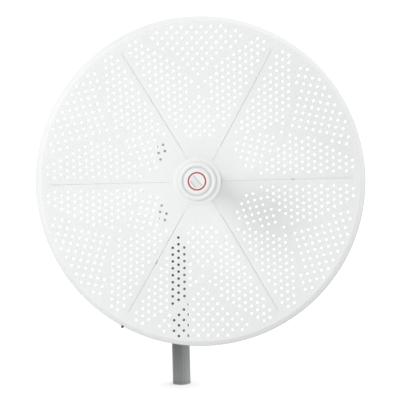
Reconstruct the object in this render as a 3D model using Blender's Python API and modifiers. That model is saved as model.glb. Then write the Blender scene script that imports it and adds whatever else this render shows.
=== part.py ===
"""Microwave dish antenna on a tubular mast, in metres with +Z up.

Six pressed petals bolt to a cast hub, with the feed on the dish axis in front of it.
Behind the hub a tilting bracket clamps on the mast, which stands beside the dish axis.
The dish looks along -Y, and the origin is the centre of the mast's foot.
"""

import math

import bmesh
import bpy
from mathutils import Matrix, Vector

# Clearances
TOUCH_GAP = 0.0003
SWING_GAP = 0.0005

# Mast: a 40 mm tube with a welded foot disc and a push-on cap
MAST_RADIUS = 0.020
MAST_WALL = 0.003
MAST_TOP = 0.5585
FOOT_THICK = 0.005
CAP_RADIUS = 0.0225
CAP_DEPTH = 0.014
CAP_CROWN = 0.005
CAP_BEVEL = 0.003

# Dish: a paraboloid whose axis passes beside the mast
DISH_X = 0.060
DISH_Z = 0.452
VERTEX_Y = -0.165
FOCAL_LENGTH = 0.230
PETALS = 6
PETAL_INNER = 0.034
BOWL_RADIUS = 0.3136
RIM_RADIUS = 0.325
PETAL_THICK = 0.002
LIP_SKIRT = 0.006
BOWL_POINTS = 14
LIP_POINTS = 5
PETAL_STEPS = 10
SECTOR_SPARE = 1.1
WEDGE_REACH = 1.2

# Openings that stand for the perforation, at three times its pitch and hole size
OPENING_PITCH = 0.0410
OPENING_RADIUS = 0.0076
OPENING_SIDES = 6
OPENING_ROWS = 4
OPENING_STEPS = 8
OPENING_DEPTH = 0.026
OPENING_INNER = 0.090
OPENING_OUTER = 0.302
OPENING_SEAM_MARGIN = 0.0135

# Seam flanges behind the petals, and the clips that hold them together
FLANGE_INNER = 0.082
FLANGE_OUTER = 0.302
FLANGE_DEPTH = 0.014
FLANGE_THICK = 0.002
FLANGE_OFFSET = 0.0005
FLANGE_POINTS = 10
CLIP_RADIUS = 0.286
CLIP_LENGTH = 0.024
CLIP_DEPTH = 0.010
CLIP_WALL = 0.002

# Hub casting and the two sockets behind it
HUB_RADIUS = 0.078
HUB_FLAT_RADIUS = 0.066
HUB_REAR = -0.025
HUB_EDGE_REAR = -0.008
HUB_POINTS = 6
SOCKET_REACH = 0.053
SOCKET_DROP = 0.018
SOCKET_LENGTH = 0.020
SOCKET_RADIUS = 0.0078
SOCKET_CHAMFER = 0.0016
SOCKET_BASE_RADIUS = 0.011
SOCKET_BASE_HEIGHT = 0.006

# Feed, in distances ahead of the vertex
FEED_RADIUS = 0.024
FEED_FRONT = 0.195
COLLAR_RADIUS = 0.041
COLLAR_SLEEVE_RADIUS = 0.030
COLLAR_EDGE_FRONT = 0.008
COLLAR_ROOT_FRONT = 0.013
COLLAR_FRONT = 0.030
HORN_FRONT = 0.228
HORN_RADIUS = 0.041
HORN_NECK_RADIUS = 0.025
HORN_FLARE_RADIUS = 0.030
HORN_FLARE_DEPTH = 0.008
HORN_BEVEL_WIDTH = 0.004
HORN_BEVEL_DEPTH = 0.009
DISC_RADIUS = 0.0436
DISC_FRONT = 0.2375
DISC_EDGE = 0.002
DISC_BACK_CHAMFER = 0.001
RIDGE_OUTER = 0.0337
RIDGE_INNER = 0.0258
RIDGE_HEIGHT = 0.003
RIDGE_POINTS = 9
GROOVE_FLOOR = 0.2355
BUTTON_RADIUS = 0.0243
BUTTON_FRONT = 0.2455

# Tilt bracket: ears on the hub, inside the cheeks of the mast bracket
PIVOT_Y = -0.086
TILT_LIMIT = math.radians(20)
LOCK_RADIUS = 0.044
EAR_OUTSIDE = 0.033
SHEET_THICK = 0.004
EAR_HALF_HEIGHT = 0.058
EAR_BACK = -0.064
EAR_CORNER = 0.018
EDGE_STEP = 0.001
CHEEK_HALF_HEIGHT = 0.064
CHEEK_FRONT = -0.114
CHEEK_CHAMFER = 0.012
PIVOT_BOLT_RADIUS = 0.005
LOCK_BOLT_RADIUS = 0.004
SLOT_HALF_WIDTH = 0.0046
SLOT_EXTRA = math.radians(0.8)

# Mast bracket: the plate in front of the mast, its saddles, jaws and clamp bolts
PLATE_BACK = -0.034
PLATE_THICK = 0.005
PLATE_LEFT = -0.0408
PLATE_WAIST_LEFT = -0.038
PLATE_WAIST_HALF_HEIGHT = 0.044
PLATE_WAIST_SLOPE = 0.008
PLATE_TALL_RIGHT = 0.050
PLATE_RIGHT_MARGIN = 0.002
PLATE_HALF_HEIGHT = 0.093
PLATE_CORNER_IN = 0.0108
PLATE_CORNER_DOWN = 0.022
CLAMP_HEIGHT = 0.073
CLAMP_REACH = 0.031
CLAMP_HALF_WIDTH = 0.0405
CLAMP_DEPTH = 0.036
CLAMP_PARTING = 0.008
JAW_WING = 0.016
JAW_WING_ROOT = 0.022
JAW_CROWN = 0.016
JAW_BACK = 0.030
CLAMP_BOLT_RADIUS = 0.004

# Bolts, as multiples of the shank's radius
HEX_RATIO = 1.87
HEAD_RATIO = 1.3
NUT_RATIO = 1.6
BOLT_TAIL = 0.004

# Fineness of round shapes
ROUND_STEPS = 40
SMALL_STEPS = 20
SHARP_ANGLE = math.radians(30)
MERGE = 0.00001

# Turns local Z to the dish's forward direction, -Y, with local X kept
FORWARD = Matrix.Rotation(math.radians(90), 4, "X")
# Turns local Z to +X, with local X along +Y and local Y along +Z
SIDEWAYS = Matrix(((0, 0, 1, 0), (1, 0, 0, 0), (0, 1, 0, 0), (0, 0, 0, 1)))

# Colour, roughness and metallic of each finish
WHITE_PAINT = ((0.86, 0.87, 0.87), 0.42, 0.0)
WHITE_PLASTIC = ((0.80, 0.81, 0.81), 0.5, 0.0)
GREY_CAST = ((0.42, 0.43, 0.43), 0.5, 0.4)
GREY_STEEL = ((0.36, 0.37, 0.36), 0.5, 0.6)
GREY_TUBE = ((0.28, 0.29, 0.28), 0.5, 0.5)
BLACK_PLASTIC = ((0.03, 0.03, 0.03), 0.6, 0.0)
ZINC = ((0.60, 0.60, 0.58), 0.35, 0.9)


# Scene and objects


def clear_scene():
    for old in list(bpy.data.objects):
        bpy.data.objects.remove(old, do_unlink=True)


def new_collection(name):
    collection = bpy.data.collections.new(name)
    bpy.context.scene.collection.children.link(collection)
    return collection


def add_object(name, data):
    obj = bpy.data.objects.new(name, data)
    parts.objects.link(obj)
    return obj


def as_cutter(obj):
    """Moves a helper shape out of the parts, where it only cuts or joins."""
    parts.objects.unlink(obj)
    cutters.objects.link(obj)
    obj.hide_render = True
    obj.display_type = "WIRE"
    return obj


def put(obj, place, turn=None):
    obj.matrix_world = Matrix.Translation(place) @ (turn or Matrix())
    return obj


def give_finish(obj, finish):
    colour, roughness, metallic = finish
    material = bpy.data.materials.new(obj.name)
    material.use_nodes = True
    shader = material.node_tree.nodes["Principled BSDF"]
    shader.inputs["Base Color"].default_value = (*colour, 1.0)
    shader.inputs["Roughness"].default_value = roughness
    shader.inputs["Metallic"].default_value = metallic
    material.diffuse_color = (*colour, 1.0)
    obj.data.materials.clear()
    obj.data.materials.append(material)


def evaluated_mesh(obj):
    bpy.context.view_layer.update()
    graph = bpy.context.evaluated_depsgraph_get()
    return bpy.data.meshes.new_from_object(obj.evaluated_get(graph))


def settle(obj):
    """Makes the modifiers' result the object's mesh, smooth apart from its hard edges."""
    mesh = evaluated_mesh(obj)
    mesh.name = obj.name
    obj.modifiers.clear()
    obj.data = mesh
    mesh.shade_smooth()
    mesh.set_sharp_from_angle(angle=SHARP_ANGLE)
    return obj


# Shapes


def turned(name, profile, closed=False, steps=ROUND_STEPS, turn=math.tau):
    """A profile of (radius, height) points turned about local Z."""
    mesh = bpy.data.meshes.new(name)
    points = [(radius, 0.0, height) for radius, height in profile]
    edges = [(i, i + 1) for i in range(len(points) - 1)]
    if closed:
        edges.append((len(points) - 1, 0))
    mesh.from_pydata(points, edges, [])
    obj = add_object(name, mesh)
    screw = obj.modifiers.new("Turn", "SCREW")
    screw.angle = turn
    screw.steps = steps
    screw.render_steps = steps
    screw.use_merge_vertices = True
    screw.merge_threshold = MERGE
    return obj


def plate(name, outline, thick):
    """A flat outline in local X and Y, thick along local Z and centred on it."""
    curve = bpy.data.curves.new(name, "CURVE")
    curve.dimensions = "2D"
    curve.fill_mode = "BOTH"
    curve.extrude = thick / 2
    spline = curve.splines.new("POLY")
    spline.points.add(len(outline) - 1)
    for point, (x, y) in zip(spline.points, outline):
        point.co = (x, y, 0.0, 1.0)
    spline.use_cyclic_u = True
    source = add_object(name + "_outline", curve)
    mesh = evaluated_mesh(source)
    bpy.data.objects.remove(source)
    work = bmesh.new()
    work.from_mesh(mesh)
    bmesh.ops.remove_doubles(work, verts=work.verts, dist=MERGE)
    work.to_mesh(mesh)
    work.free()
    return add_object(name, mesh)


def rod(name, radius, length, sides=SMALL_STEPS):
    """A cylinder along local Z, centred on it."""
    bpy.ops.mesh.primitive_cylinder_add(vertices=sides, radius=radius, depth=length)
    obj = bpy.context.object
    obj.name = name
    for owner in list(obj.users_collection):
        owner.objects.unlink(obj)
    parts.objects.link(obj)
    return obj


def combine(obj, other, operation):
    boolean = obj.modifiers.new(operation.title(), "BOOLEAN")
    boolean.operation = operation
    boolean.solver = "EXACT"
    boolean.object = as_cutter(other)
    return obj


def join(obj, other):
    return combine(obj, other, "UNION")


def cut(obj, other):
    return combine(obj, other, "DIFFERENCE")


def keep_inside(obj, other):
    return combine(obj, other, "INTERSECT")


def arc(centre, radius, start, end, count):
    """Points along an arc about centre, from the angle start to the angle end."""
    angles = [start + (end - start) * i / (count - 1) for i in range(count)]
    return [
        (centre[0] + radius * math.cos(a), centre[1] + radius * math.sin(a))
        for a in angles
    ]


# Dish


def bowl_height(radius):
    """How far ahead of the vertex the reflecting face is at this radius."""
    return radius * radius / (4 * FOCAL_LENGTH)


def spread(start, end, count):
    return [start + (end - start) * i / (count - 1) for i in range(count)]


def petal_profile():
    """The front face from the hub to the lip, which rolls outward and back."""
    points = [(r, bowl_height(r)) for r in spread(PETAL_INNER, BOWL_RADIUS, BOWL_POINTS)]
    slope = math.atan(BOWL_RADIUS / (2 * FOCAL_LENGTH))
    lip = (RIM_RADIUS - BOWL_RADIUS) / (1 + math.sin(slope))
    centre = (
        BOWL_RADIUS + lip * math.sin(slope),
        bowl_height(BOWL_RADIUS) - lip * math.cos(slope),
    )
    points += arc(centre, lip, math.pi / 2 + slope, 0.0, LIP_POINTS)[1:]
    points.append((RIM_RADIUS, centre[1] - LIP_SKIRT))
    return points


def petal_wedge():
    """The space of one petal between its two seams, with half the gap on each side."""
    apex = TOUCH_GAP / math.sin(math.pi / PETALS)
    reach = RIM_RADIUS * WEDGE_REACH
    half_width = (reach - apex) * math.tan(math.pi / PETALS)
    outline = [(apex, 0.0), (reach, -half_width), (reach, half_width)]
    return plate("petal_wedge", outline, 4 * FOCAL_LENGTH)


def opening_places():
    """Where a petal's openings lie, along its centre line and across it."""
    row_gap = OPENING_PITCH * math.cos(math.pi / 6)
    half_sector = math.pi / PETALS
    places = []
    for row in range(-OPENING_ROWS, OPENING_ROWS + 1):
        across = row * row_gap
        for step in range(OPENING_STEPS):
            along = (step + row % 2 / 2) * OPENING_PITCH
            from_seam = along * math.sin(half_sector) - abs(across) * math.cos(half_sector)
            clear_of_seam = from_seam > OPENING_SEAM_MARGIN
            if clear_of_seam and OPENING_INNER < math.hypot(along, across) < OPENING_OUTER:
                places.append((along, across))
    return places


def petal_openings():
    """The cutters of a petal's openings, as one object."""
    work = bmesh.new()
    for along, across in opening_places():
        height = bowl_height(math.hypot(along, across))
        bmesh.ops.create_cone(
            work,
            cap_ends=True,
            segments=OPENING_SIDES,
            radius1=OPENING_RADIUS,
            radius2=OPENING_RADIUS,
            depth=OPENING_DEPTH,
            matrix=Matrix.Translation((along, across, height)),
        )
    mesh = bpy.data.meshes.new("petal_openings")
    work.to_mesh(mesh)
    work.free()
    return add_object("petal_openings", mesh)


def flange_outline():
    """A seam flange seen from its side, in radius and height."""
    radii = spread(FLANGE_INNER, FLANGE_OUTER, FLANGE_POINTS)
    front = [(r, bowl_height(r) - PETAL_THICK / 2) for r in radii]
    back = [(r, bowl_height(r) - FLANGE_DEPTH) for r in radii[1:-1]]
    return front + back[::-1]


def seam_flange(side):
    """The upright strip behind a petal's edge, on the seam to that side of it."""
    flange = plate("seam_flange", flange_outline(), FLANGE_THICK)
    seam = Matrix.Rotation(side * math.pi / PETALS, 4, "Z")
    inward = -side * (FLANGE_OFFSET + FLANGE_THICK / 2)
    shift = Matrix.Translation((0.0, inward, 0.0))
    upright = Matrix.Rotation(math.radians(90), 4, "X")
    flange.matrix_world = seam @ shift @ upright
    return flange


def petal_mesh():
    """One petal centred on local X: a turned sector with thickness, openings and two flanges."""
    sector = math.tau / PETALS * SECTOR_SPARE
    petal = turned("petal", petal_profile(), steps=PETAL_STEPS, turn=sector)
    petal.matrix_world = Matrix.Rotation(-sector / 2, 4, "Z")
    wall = petal.modifiers.new("Wall", "SOLIDIFY")
    wall.thickness = PETAL_THICK
    wall.offset = -1.0
    wall.use_even_offset = True
    keep_inside(petal, petal_wedge())
    cut(petal, petal_openings())
    for side in (-1, 1):
        join(petal, seam_flange(side))
    settle(petal)
    mesh = petal.data
    mesh.transform(petal.matrix_world)
    bpy.data.objects.remove(petal)
    return mesh


def dish_place(turn=0.0):
    """Where the dish's own frame stands in the world, turned about the dish axis."""
    spin = Matrix.Rotation(turn, 4, "Z")
    return Matrix.Translation((DISH_X, VERTEX_Y, DISH_Z)) @ FORWARD @ spin


def make_petals():
    shape = petal_mesh()
    petals = []
    for number in range(PETALS):
        petal = add_object(f"petal_{number + 1}", shape.copy())
        petal.matrix_world = dish_place(math.tau * (number + 0.5) / PETALS)
        give_finish(petal, WHITE_PAINT)
        petals.append(petal)
    return petals


def clip_outline():
    """A channel's section: the slot takes the two flanges of a seam."""
    slot = FLANGE_OFFSET + FLANGE_THICK + TOUCH_GAP
    outside = slot + CLIP_WALL
    floor = -CLIP_DEPTH
    return [
        (-outside, 0.0),
        (-outside, floor - CLIP_WALL),
        (outside, floor - CLIP_WALL),
        (outside, 0.0),
        (slot, 0.0),
        (slot, floor),
        (-slot, floor),
        (-slot, 0.0),
    ]


def make_clips():
    """Channel clips pushed over the seam flanges near the rim."""
    slope = math.atan(CLIP_RADIUS / (2 * FOCAL_LENGTH))
    back_edge = FLANGE_DEPTH * math.cos(slope) + TOUCH_GAP
    along = Matrix.Rotation(-slope, 4, "Y")
    clips = []
    for number in range(PETALS):
        clip = plate(f"seam_clip_{number + 1}", clip_outline(), CLIP_LENGTH)
        radial = Matrix.Translation((CLIP_RADIUS, 0.0, bowl_height(CLIP_RADIUS)))
        sink = Matrix.Translation((0.0, 0.0, CLIP_DEPTH - back_edge))
        seam = dish_place(math.tau * number / PETALS)
        clip.matrix_world = seam @ radial @ along @ sink @ SIDEWAYS
        give_finish(clip, GREY_CAST)
        clips.append(clip)
    return clips


def make_hub():
    """The casting that carries the petals' inner ends and takes the feed through it."""
    bore = FEED_RADIUS + TOUCH_GAP
    back_of_petals = PETAL_THICK + TOUCH_GAP * 1.5
    profile = [(r, bowl_height(r) - back_of_petals) for r in spread(bore, HUB_RADIUS, HUB_POINTS)]
    profile += [(HUB_RADIUS, HUB_EDGE_REAR), (HUB_FLAT_RADIUS, HUB_REAR), (bore, HUB_REAR)]
    hub = turned("hub_casting", profile, closed=True)
    hub.matrix_world = dish_place()
    settle(hub)
    give_finish(hub, GREY_CAST)
    return hub


def make_sockets():
    """Two threaded sockets on the back of the hub, with nothing plugged in."""
    profile = [
        (0.0, SOCKET_LENGTH),
        (SOCKET_RADIUS - SOCKET_CHAMFER, SOCKET_LENGTH),
        (SOCKET_RADIUS, SOCKET_LENGTH - SOCKET_CHAMFER),
        (SOCKET_RADIUS, SOCKET_BASE_HEIGHT),
        (SOCKET_BASE_RADIUS, SOCKET_BASE_HEIGHT),
        (SOCKET_BASE_RADIUS, 0.0),
        (0.0, 0.0),
    ]
    backward = Matrix.Rotation(math.radians(-90), 4, "X")
    sockets = []
    for name, side in (("socket_left", -1), ("socket_right", 1)):
        socket = turned(name, profile, steps=SMALL_STEPS)
        place = (
            DISH_X + side * SOCKET_REACH,
            VERTEX_Y - HUB_REAR + TOUCH_GAP,
            DISH_Z - SOCKET_DROP,
        )
        put(socket, place, backward)
        settle(socket)
        give_finish(socket, ZINC)
        sockets.append(socket)
    return sockets


# Feed


def make_collar():
    """The flanged sleeve that holds the feed and clamps the petals' inner ends."""
    bore = FEED_RADIUS + TOUCH_GAP
    inner_edge = PETAL_INNER - 0.001
    profile = [
        (bore, COLLAR_FRONT),
        (COLLAR_SLEEVE_RADIUS, COLLAR_FRONT),
        (COLLAR_SLEEVE_RADIUS, COLLAR_ROOT_FRONT),
        (COLLAR_RADIUS, COLLAR_EDGE_FRONT),
        (COLLAR_RADIUS, bowl_height(COLLAR_RADIUS) + TOUCH_GAP),
        (inner_edge, bowl_height(inner_edge) + TOUCH_GAP),
        (bore, bowl_height(inner_edge) + TOUCH_GAP),
    ]
    return turned("feed_collar", profile, closed=True)


def make_feed_tube():
    profile = [
        (0.0, FEED_FRONT),
        (FEED_RADIUS, FEED_FRONT),
        (FEED_RADIUS, HUB_REAR),
        (0.0, HUB_REAR),
    ]
    return turned("feed_tube", profile)


def make_horn():
    """The flare between the feed tube and the disc in front."""
    base = FEED_FRONT + TOUCH_GAP
    profile = [
        (0.0, HORN_FRONT),
        (HORN_RADIUS, HORN_FRONT),
        (HORN_RADIUS - HORN_BEVEL_WIDTH, HORN_FRONT - HORN_BEVEL_DEPTH),
        (HORN_FLARE_RADIUS, base + HORN_FLARE_DEPTH),
        (HORN_NECK_RADIUS, base),
        (0.0, base),
    ]
    return turned("feed_horn", profile)


def ridge_points():
    """The rounded ridge on the disc, as a half ellipse from its inner foot outwards."""
    middle = (RIDGE_INNER + RIDGE_OUTER) / 2
    half_width = (RIDGE_OUTER - RIDGE_INNER) / 2
    return [
        (middle - half_width * math.cos(a), DISC_FRONT + RIDGE_HEIGHT * math.sin(a))
        for a in spread(0.0, math.pi, RIDGE_POINTS)
    ]


def make_disc():
    """The disc in front of the feed, with a raised ring round a seat for the button."""
    base = HORN_FRONT + TOUCH_GAP
    edge = (DISC_RADIUS - DISC_EDGE, DISC_FRONT - DISC_EDGE)
    profile = [(0.0, GROOVE_FLOOR), (RIDGE_INNER, GROOVE_FLOOR)]
    profile += ridge_points()
    profile += arc(edge, DISC_EDGE, math.pi / 2, 0.0, 4)
    profile += [
        (DISC_RADIUS, base + DISC_BACK_CHAMFER),
        (DISC_RADIUS - DISC_BACK_CHAMFER, base),
        (0.0, base),
    ]
    return turned("feed_disc", profile)


def make_button():
    """The round boss in the middle of the disc."""
    base = GROOVE_FLOOR + TOUCH_GAP
    edge = (BUTTON_RADIUS - DISC_EDGE, BUTTON_FRONT - DISC_EDGE)
    profile = [(0.0, BUTTON_FRONT)]
    profile += arc(edge, DISC_EDGE, math.pi / 2, 0.0, 4)
    profile += [(BUTTON_RADIUS, base), (0.0, base)]
    return turned("feed_button", profile)


def make_feed():
    pieces = [make_collar(), make_feed_tube(), make_horn(), make_disc(), make_button()]
    for piece in pieces:
        piece.matrix_world = dish_place()
        settle(piece)
        give_finish(piece, WHITE_PLASTIC)
    return pieces


# Bolts


def bolt(name, radius, grip):
    """A hex bolt along local Z, its head's underside at zero and its nut's face at minus grip."""
    hex_radius = radius * HEX_RATIO
    head_height = radius * HEAD_RATIO
    nut_height = radius * NUT_RATIO
    length = head_height / 2 + grip + nut_height + BOLT_TAIL
    shank = rod(name, radius, length, SMALL_STEPS)
    shank.data.transform(Matrix.Translation((0.0, 0.0, head_height / 2 - length / 2)))
    head = rod(name + "_head", hex_radius, head_height, 6)
    head.data.transform(Matrix.Translation((0.0, 0.0, head_height / 2)))
    nut = rod(name + "_nut", hex_radius, nut_height, 6)
    nut.data.transform(Matrix.Translation((0.0, 0.0, -grip - nut_height / 2)))
    join(shank, head)
    join(shank, nut)
    return shank


def settle_bolt(obj, place, turn):
    settle(obj)
    put(obj, place, turn)
    give_finish(obj, ZINC)
    return obj


# Tilt bracket


def lock_places():
    """The lock bolts' places, above and below the pivot, in Y and Z."""
    return {
        "upper": (PIVOT_Y, DISH_Z + LOCK_RADIUS),
        "lower": (PIVOT_Y, DISH_Z - LOCK_RADIUS),
    }


def cross_hole(radius, place):
    """A cutter along X at this (Y, Z), long enough for the whole bracket."""
    hole = rod("cross_hole", radius, 4 * EAR_OUTSIDE, ROUND_STEPS)
    return put(hole, (DISH_X, *place), SIDEWAYS)


def make_dish_bracket():
    """A channel on the back of the hub, with an ear on each side of the pivot."""
    front = VERTEX_Y - HUB_REAR + TOUCH_GAP
    middle = front + SHEET_THICK / 2
    half_width = EAR_OUTSIDE - EDGE_STEP
    half_height = EAR_HALF_HEIGHT - EDGE_STEP
    outline = [
        (-half_width, -half_height),
        (half_width, -half_height),
        (half_width, half_height),
        (-half_width, half_height),
    ]
    bracket = plate("dish_bracket", outline, SHEET_THICK)
    put(bracket, (DISH_X, middle, DISH_Z), FORWARD)
    corner_y = EAR_BACK - EAR_CORNER / 2
    corner_z = EAR_HALF_HEIGHT - EAR_CORNER
    ear_outline = [
        (front, -EAR_HALF_HEIGHT),
        (corner_y, -EAR_HALF_HEIGHT),
        (EAR_BACK, -corner_z),
        (EAR_BACK, corner_z),
        (corner_y, EAR_HALF_HEIGHT),
        (front, EAR_HALF_HEIGHT),
    ]
    for side in (-1, 1):
        ear = plate("ear", ear_outline, SHEET_THICK)
        across = DISH_X + side * (EAR_OUTSIDE - SHEET_THICK / 2)
        put(ear, (across, 0.0, DISH_Z), SIDEWAYS)
        join(bracket, ear)
    cut(bracket, cross_hole(PIVOT_BOLT_RADIUS + TOUCH_GAP, (PIVOT_Y, DISH_Z)))
    for place in lock_places().values():
        cut(bracket, cross_hole(LOCK_BOLT_RADIUS + TOUCH_GAP, place))
    settle(bracket)
    give_finish(bracket, GREY_STEEL)
    return bracket


def make_tilt_bolts():
    """The pivot bolt and the two lock bolts, which ride in the cheeks' curved slots."""
    grip = 2 * (EAR_OUTSIDE + SWING_GAP + SHEET_THICK + TOUCH_GAP)
    bolts = []
    wanted = {"tilt_pivot_bolt": (PIVOT_BOLT_RADIUS, (PIVOT_Y, DISH_Z))}
    for level, place in lock_places().items():
        wanted[f"tilt_lock_bolt_{level}"] = (LOCK_BOLT_RADIUS, place)
    for name, (radius, place) in wanted.items():
        piece = bolt(name, radius, grip)
        bolts.append(settle_bolt(piece, (DISH_X + grip / 2, *place), SIDEWAYS))
    return bolts


def slot_outline(middle):
    """A curved slot about the pivot, centred on the angle middle, with round ends."""
    half = TILT_LIMIT + SLOT_EXTRA
    start = middle - half
    end = middle + half
    inner = LOCK_RADIUS - SLOT_HALF_WIDTH
    outer = LOCK_RADIUS + SLOT_HALF_WIDTH
    first = (LOCK_RADIUS * math.cos(start), LOCK_RADIUS * math.sin(start))
    last = (LOCK_RADIUS * math.cos(end), LOCK_RADIUS * math.sin(end))
    points = arc((0.0, 0.0), outer, start, end, 12)
    points += arc(last, SLOT_HALF_WIDTH, end, end + math.pi, 8)[1:-1]
    points += arc((0.0, 0.0), inner, end, start, 12)
    points += arc(first, SLOT_HALF_WIDTH, start + math.pi, start + math.tau, 8)[1:-1]
    return points


# Mast bracket


def mast_plate_outline():
    """The plate in X and Z: tall over the mast with a waist, lower behind the cheeks."""
    corner_x = PLATE_LEFT + PLATE_CORNER_IN
    corner_z = PLATE_HALF_HEIGHT - PLATE_CORNER_DOWN
    right = DISH_X + EAR_OUTSIDE + SWING_GAP + SHEET_THICK + PLATE_RIGHT_MARGIN
    low = CHEEK_HALF_HEIGHT + EDGE_STEP
    waist_foot = PLATE_WAIST_HALF_HEIGHT + PLATE_WAIST_SLOPE
    return [
        (PLATE_LEFT, -corner_z),
        (corner_x, -PLATE_HALF_HEIGHT),
        (PLATE_TALL_RIGHT, -PLATE_HALF_HEIGHT),
        (right, -low),
        (right, low),
        (PLATE_TALL_RIGHT, PLATE_HALF_HEIGHT),
        (corner_x, PLATE_HALF_HEIGHT),
        (PLATE_LEFT, corner_z),
        (PLATE_LEFT, waist_foot),
        (PLATE_WAIST_LEFT, PLATE_WAIST_HALF_HEIGHT),
        (PLATE_WAIST_LEFT, -PLATE_WAIST_HALF_HEIGHT),
        (PLATE_LEFT, -waist_foot),
    ]


def cheek_outline():
    """A cheek in Y and Z, from inside the plate forward round the pivot and slots."""
    root = PLATE_BACK - PLATE_THICK / 2
    corner_y = CHEEK_FRONT + CHEEK_CHAMFER
    corner_z = CHEEK_HALF_HEIGHT - CHEEK_CHAMFER
    return [
        (root, -CHEEK_HALF_HEIGHT),
        (root, CHEEK_HALF_HEIGHT),
        (corner_y, CHEEK_HALF_HEIGHT),
        (CHEEK_FRONT, corner_z),
        (CHEEK_FRONT, -corner_z),
        (corner_y, -CHEEK_HALF_HEIGHT),
    ]


def clamp_places():
    """Each clamp bolt's name and its (X, Z)."""
    places = {}
    for level, up in (("upper", 1), ("lower", -1)):
        for hand, across in (("left", -1), ("right", 1)):
            x = across * CLAMP_REACH
            places[f"{level}_{hand}"] = (x, DISH_Z + up * CLAMP_HEIGHT)
    return places


def clamp_hole(place):
    """A cutter along Y at this (X, Z)."""
    hole = rod("clamp_hole", CLAMP_BOLT_RADIUS + TOUCH_GAP, 0.2, SMALL_STEPS)
    return put(hole, (place[0], 0.0, place[1]), FORWARD)


def make_mast_bracket():
    bracket = plate("mast_bracket", mast_plate_outline(), PLATE_THICK)
    put(bracket, (0.0, PLATE_BACK - PLATE_THICK / 2, DISH_Z), FORWARD)
    reach = EAR_OUTSIDE + SWING_GAP + SHEET_THICK / 2
    for side in (-1, 1):
        cheek = plate("cheek", cheek_outline(), SHEET_THICK)
        put(cheek, (DISH_X + side * reach, 0.0, DISH_Z), SIDEWAYS)
        join(bracket, cheek)
    cut(bracket, cross_hole(PIVOT_BOLT_RADIUS + SWING_GAP, (PIVOT_Y, DISH_Z)))
    for middle in (math.pi / 2, -math.pi / 2):
        slot = plate("slot", slot_outline(middle), 4 * EAR_OUTSIDE)
        put(slot, (DISH_X, PIVOT_Y, DISH_Z), SIDEWAYS)
        cut(bracket, slot)
    for place in clamp_places().values():
        cut(bracket, clamp_hole(place))
    settle(bracket)
    give_finish(bracket, GREY_STEEL)
    return bracket


def clamp_block(name, outline, height):
    """A block round the mast, from its outline in X and Y, with its bolt holes."""
    block = plate(name, outline, CLAMP_DEPTH)
    put(block, (0.0, 0.0, height))
    cut(block, rod("mast_groove", MAST_RADIUS + TOUCH_GAP, 2.0, ROUND_STEPS))
    for place in clamp_places().values():
        if abs(place[1] - height) < CLAMP_DEPTH:
            cut(block, clamp_hole(place))
    settle(block)
    give_finish(block, GREY_CAST)
    return block


def saddle_outline():
    front = PLATE_BACK + TOUCH_GAP
    return [
        (-CLAMP_HALF_WIDTH, front),
        (CLAMP_HALF_WIDTH, front),
        (CLAMP_HALF_WIDTH, -CLAMP_PARTING),
        (-CLAMP_HALF_WIDTH, -CLAMP_PARTING),
    ]


def jaw_outline():
    """The rear jaw: two flat wings for the nuts and an arch over the mast."""
    right = [
        (CLAMP_HALF_WIDTH, CLAMP_PARTING),
        (CLAMP_HALF_WIDTH, JAW_WING),
        (JAW_WING_ROOT, JAW_WING),
        (JAW_CROWN, JAW_BACK),
    ]
    left = [(-x, y) for x, y in right[::-1]]
    return right + left


def make_clamps():
    pieces = []
    for level, up in (("upper", 1), ("lower", -1)):
        height = DISH_Z + up * CLAMP_HEIGHT
        pieces.append(clamp_block(f"clamp_saddle_{level}", saddle_outline(), height))
        pieces.append(clamp_block(f"clamp_jaw_{level}", jaw_outline(), height))
    return pieces


def make_clamp_bolts():
    head_seat = PLATE_BACK - PLATE_THICK - TOUCH_GAP
    grip = JAW_WING + TOUCH_GAP - head_seat
    bolts = []
    for name, (x, z) in clamp_places().items():
        piece = bolt(f"clamp_bolt_{name}", CLAMP_BOLT_RADIUS, grip)
        bolts.append(settle_bolt(piece, (x, head_seat, z), FORWARD))
    return bolts


# Mast


def make_mast():
    inner = MAST_RADIUS - MAST_WALL
    base = FOOT_THICK + TOUCH_GAP
    profile = [(MAST_RADIUS, MAST_TOP), (MAST_RADIUS, base), (inner, base), (inner, MAST_TOP)]
    tube = settle(turned("mast_tube", profile, closed=True))
    give_finish(tube, GREY_TUBE)
    foot = rod("mast_foot_disc", MAST_RADIUS, FOOT_THICK, ROUND_STEPS)
    put(foot, (0.0, 0.0, FOOT_THICK / 2))
    settle(foot)
    give_finish(foot, GREY_TUBE)
    return [tube, foot]


def make_mast_cap():
    seat = MAST_TOP + TOUCH_GAP
    bore = MAST_RADIUS + TOUCH_GAP
    top = seat + CAP_CROWN
    profile = [
        (0.0, top),
        (CAP_RADIUS - CAP_BEVEL, top),
        (CAP_RADIUS, top - CAP_BEVEL),
        (CAP_RADIUS, MAST_TOP - CAP_DEPTH),
        (bore, MAST_TOP - CAP_DEPTH),
        (bore, seat),
        (0.0, seat),
    ]
    cap = settle(turned("mast_cap", profile))
    give_finish(cap, BLACK_PLASTIC)
    return cap


# Joints


def joint_empty(name, place, children, parent=None):
    """An empty on a joint's axis, which carries the pieces that turn there."""
    axis = add_object(name, None)
    axis.location = place
    bpy.context.view_layer.update()
    if parent:
        axis.parent = parent
        axis.matrix_parent_inverse = parent.matrix_world.inverted()
    for child in children:
        child.parent = axis
        child.matrix_parent_inverse = Matrix.Translation(-Vector(place))
    return axis


clear_scene()
parts = new_collection("microwave dish antenna")
cutters = new_collection("cutters")

make_mast()
make_mast_cap()
turning = [make_mast_bracket(), *make_clamps(), *make_clamp_bolts()]
tilting = [make_dish_bracket(), *make_tilt_bolts(), make_hub(), *make_sockets()]
tilting += make_petals() + make_clips() + make_feed()
azimuth = joint_empty("azimuth_axis", (0.0, 0.0, DISH_Z), turning)
joint_empty("elevation_axis", (DISH_X, PIVOT_Y, DISH_Z), tilting, azimuth)
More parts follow.
